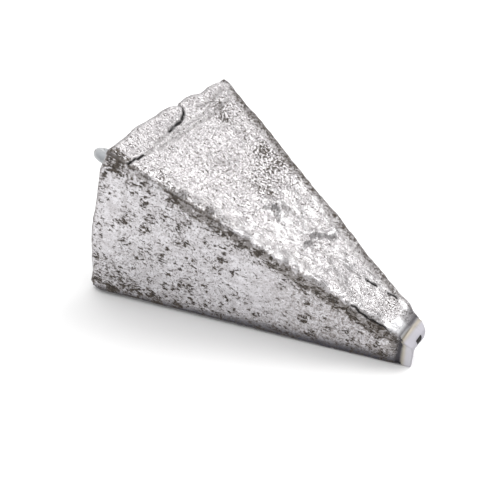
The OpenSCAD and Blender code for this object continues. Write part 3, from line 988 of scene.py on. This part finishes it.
oxide_here = blend(tree, spread(tree, grit, 0.42, 0.6), lead_oxide, oxide_brown)
dirty = blend(tree, dirt, blend(tree, halo, worn, oxide_halo), oxide_here)
dirty = blend(tree, spread(tree, mask["neck"], 0.1, 0.9), dirty, neck_grey)
# Open cracks, the slot, the rings round the wire legs and the block's edge line are painted near black, as
# their shade
colour = blend(tree, spread(tree, mask["crease"], 0.35, 0.9), dirty, black_painted_shade)
tree.links.new(colour, shader.inputs["Base Color"])

# Everything but clean metal is dull
dull = most(tree, dirt, times(tree, edge_worn, 0.8), times(tree, mask["smooth_side_painted_lighter"], 0.3),
            times(tree, mask["block"], 0.85), times(tree, mask["foot_shade_mask"], 0.9), mask["neck"],
            mask["crease"], times(tree, shade_here, 0.8))
metallic = spread(tree, dull, 0.0, 1.0, clean_metallic, dull_metallic)
roughness = spread(tree, dull, 0.0, 1.0, clean_roughness, dull_roughness)
tree.links.new(metallic, shader.inputs["Metallic"])
tree.links.new(roughness, shader.inputs["Roughness"])
skin_h = sums(tree, "MULTIPLY_ADD", dirt, oxide_pit_h, times(tree, wrinkles.outputs["Height"], rough_side))
skin_h = sums(tree, "MULTIPLY_ADD", times(tree, grit, rough_side), grit_h, skin_h)
bump = put(tree, "ShaderNodeBump", {"Height": skin_h, "Distance": bump_h, "Strength": 1.0})
tree.links.new(bump.outputs["Normal"], shader.inputs["Normal"])
casting.materials.append(cast_lead)

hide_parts("lead_body")
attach(lead_casting, "root")

# Line eye
# One length of drawn steel wire, bent round into a loop. It stands in the mould while the lead is poured,
# so its two legs and their turned-out feet are cast in for good and only the loop shows.
# Its radius and the turn of its legs are given above, with the lead drawn up round them
loop_centre_out = 4.8
leg_depth = 11.0
bend_r = 2.1
foot_len = 2.0
eye_droop = math.radians(5)
wire_step = 0.25
wire_sides = 40
bend_steps = 12

# Half of the wire's middle line in its own plane, outwards and across, from the loop's end to the foot
half_line = []
loop_steps = round(leg_out * math.pi / 2 / wire_step)
for i in range(loop_steps):
    turn = math.pi / 2 * i / loop_steps
    half_line.append((loop_centre_out + leg_out * math.cos(turn), leg_out * math.sin(turn)))
leg_steps = round((loop_centre_out + leg_depth) / wire_step)
for i in range(leg_steps):
    half_line.append((loop_centre_out - (loop_centre_out + leg_depth) * i / leg_steps, leg_out))
for i in range(bend_steps):
    turn = math.pi / 2 * i / bend_steps
    half_line.append((-leg_depth - bend_r * math.sin(turn), leg_out + bend_r * (1 - math.cos(turn))))
half_line.append((-leg_depth - bend_r, leg_out + bend_r))
half_line.append((-leg_depth - bend_r, leg_out + bend_r + foot_len))
half_line = np.array(half_line)
line = np.concatenate([half_line[:0:-1] * (1, -1), half_line])
ahead = np.gradient(line, axis=0)
ahead /= np.linalg.norm(ahead, axis=1, keepdims=True)

# Round section of the wire: pressed a little oval where the bending pin bore on the loop, and marked
# along its length by the drawing die
die_mark_depth = 0.006
dent_depth = 0.012
skin_margin = 0.012
pressed_in = 0.04
pressed_out = 0.01
around = np.arange(wire_sides) * 2 * math.pi / wire_sides
on_loop = rise(line[:, :1], loop_centre_out - 1, loop_centre_out + 1)
die_marks = crumple(np.cos(around) * 6, np.sin(around) * 6, 0 * around, size=1.0, seed=81, layers=2)
dents = crumple(line[:, :1] * 0.9, line[:, 1:] * 0.9, around, size=1.0, seed=85, layers=2)
radius = wire_r - skin_margin - np.abs(die_mark_depth * die_marks) - np.abs(dent_depth * dents)
side_reach = radius * np.cos(around) * (1 - pressed_in * on_loop)
flat_reach = radius * np.sin(around) * (1 + pressed_out * on_loop)
out_line = line[:, :1] - ahead[:, 1:] * side_reach
across_line = line[:, 1:] + ahead[:, :1] * side_reach
lie = (
    Matrix.Translation(face_middle)
    @ Matrix.Rotation(tilt - eye_droop, 4, "Y")
    @ Matrix.Rotation(leg_turn, 4, "X")
)
wire_skin = np.stack([-out_line, across_line, -flat_reach], axis=-1).reshape(-1, 3)
wire_skin = wire_skin @ np.array(lie.to_3x3()).T + np.array(lie.translation)
low, high = [np.array(corner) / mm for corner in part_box("wire_eye")]
wire_skin = np.clip(wire_skin, low, high)
wire_faces = []
for i in range(len(line) - 1):
    for k in range(wire_sides):
        a, b = i * wire_sides + k, i * wire_sides + (k + 1) % wire_sides
        wire_faces.append((a, b, b + wire_sides, a + wire_sides))
wire_faces.append(tuple(range(wire_sides))[::-1])
wire_faces.append(tuple(k + (len(line) - 1) * wire_sides for k in range(wire_sides)))

bent_wire = bpy.data.meshes.new("bent_wire")
bent_wire.from_pydata(wire_skin * mm, [], wire_faces)
bent_wire.validate()
bent_wire.shade_smooth()
line_eye = bpy.data.objects.new("line_eye", bent_wire)
bpy.context.scene.collection.objects.link(line_eye)

steel_light = (0.42, 0.435, 0.45, 1.0)
steel_shade = (0.25, 0.26, 0.27, 1.0)
steel_oxide = (0.11, 0.09, 0.075, 1.0)
rust_amount = 0.2
rust_size = 1.3
clean_steel_roughness = 0.3
rusty_roughness = 0.7
mark_h = 0.02 * mm
steel_wire = bpy.data.materials.new("steel_wire")
steel_wire.use_nodes = True
tree = steel_wire.node_tree
shader = tree.nodes["Principled BSDF"]
axis_place = along_axis(tree)
rust = put(tree, "ShaderNodeGroup", {"Place": axis_place, "Amount": rust_amount, "Size": rust_size},
           node_tree=oxide_spots).outputs["Mask"]
tone = noise(tree, axis_place, scale=1.3, detail=4.0, roughness=0.6)
marks = noise(tree, axis_place, scale=7.0, detail=4.0, roughness=0.6)
colour = blend(tree, rust, blend(tree, tone, steel_shade, steel_light), steel_oxide)
roughness = spread(tree, rust, 0.0, 1.0, clean_steel_roughness, rusty_roughness)
bump = put(tree, "ShaderNodeBump", {"Height": marks, "Distance": mark_h, "Strength": 1.0})
tree.links.new(colour, shader.inputs["Base Color"])
tree.links.new(roughness, shader.inputs["Roughness"])
tree.links.new(bump.outputs["Normal"], shader.inputs["Normal"])
shader.inputs["Metallic"].default_value = 1.0
bent_wire.materials.append(steel_wire)

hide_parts("wire_eye")
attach(line_eye, "root")
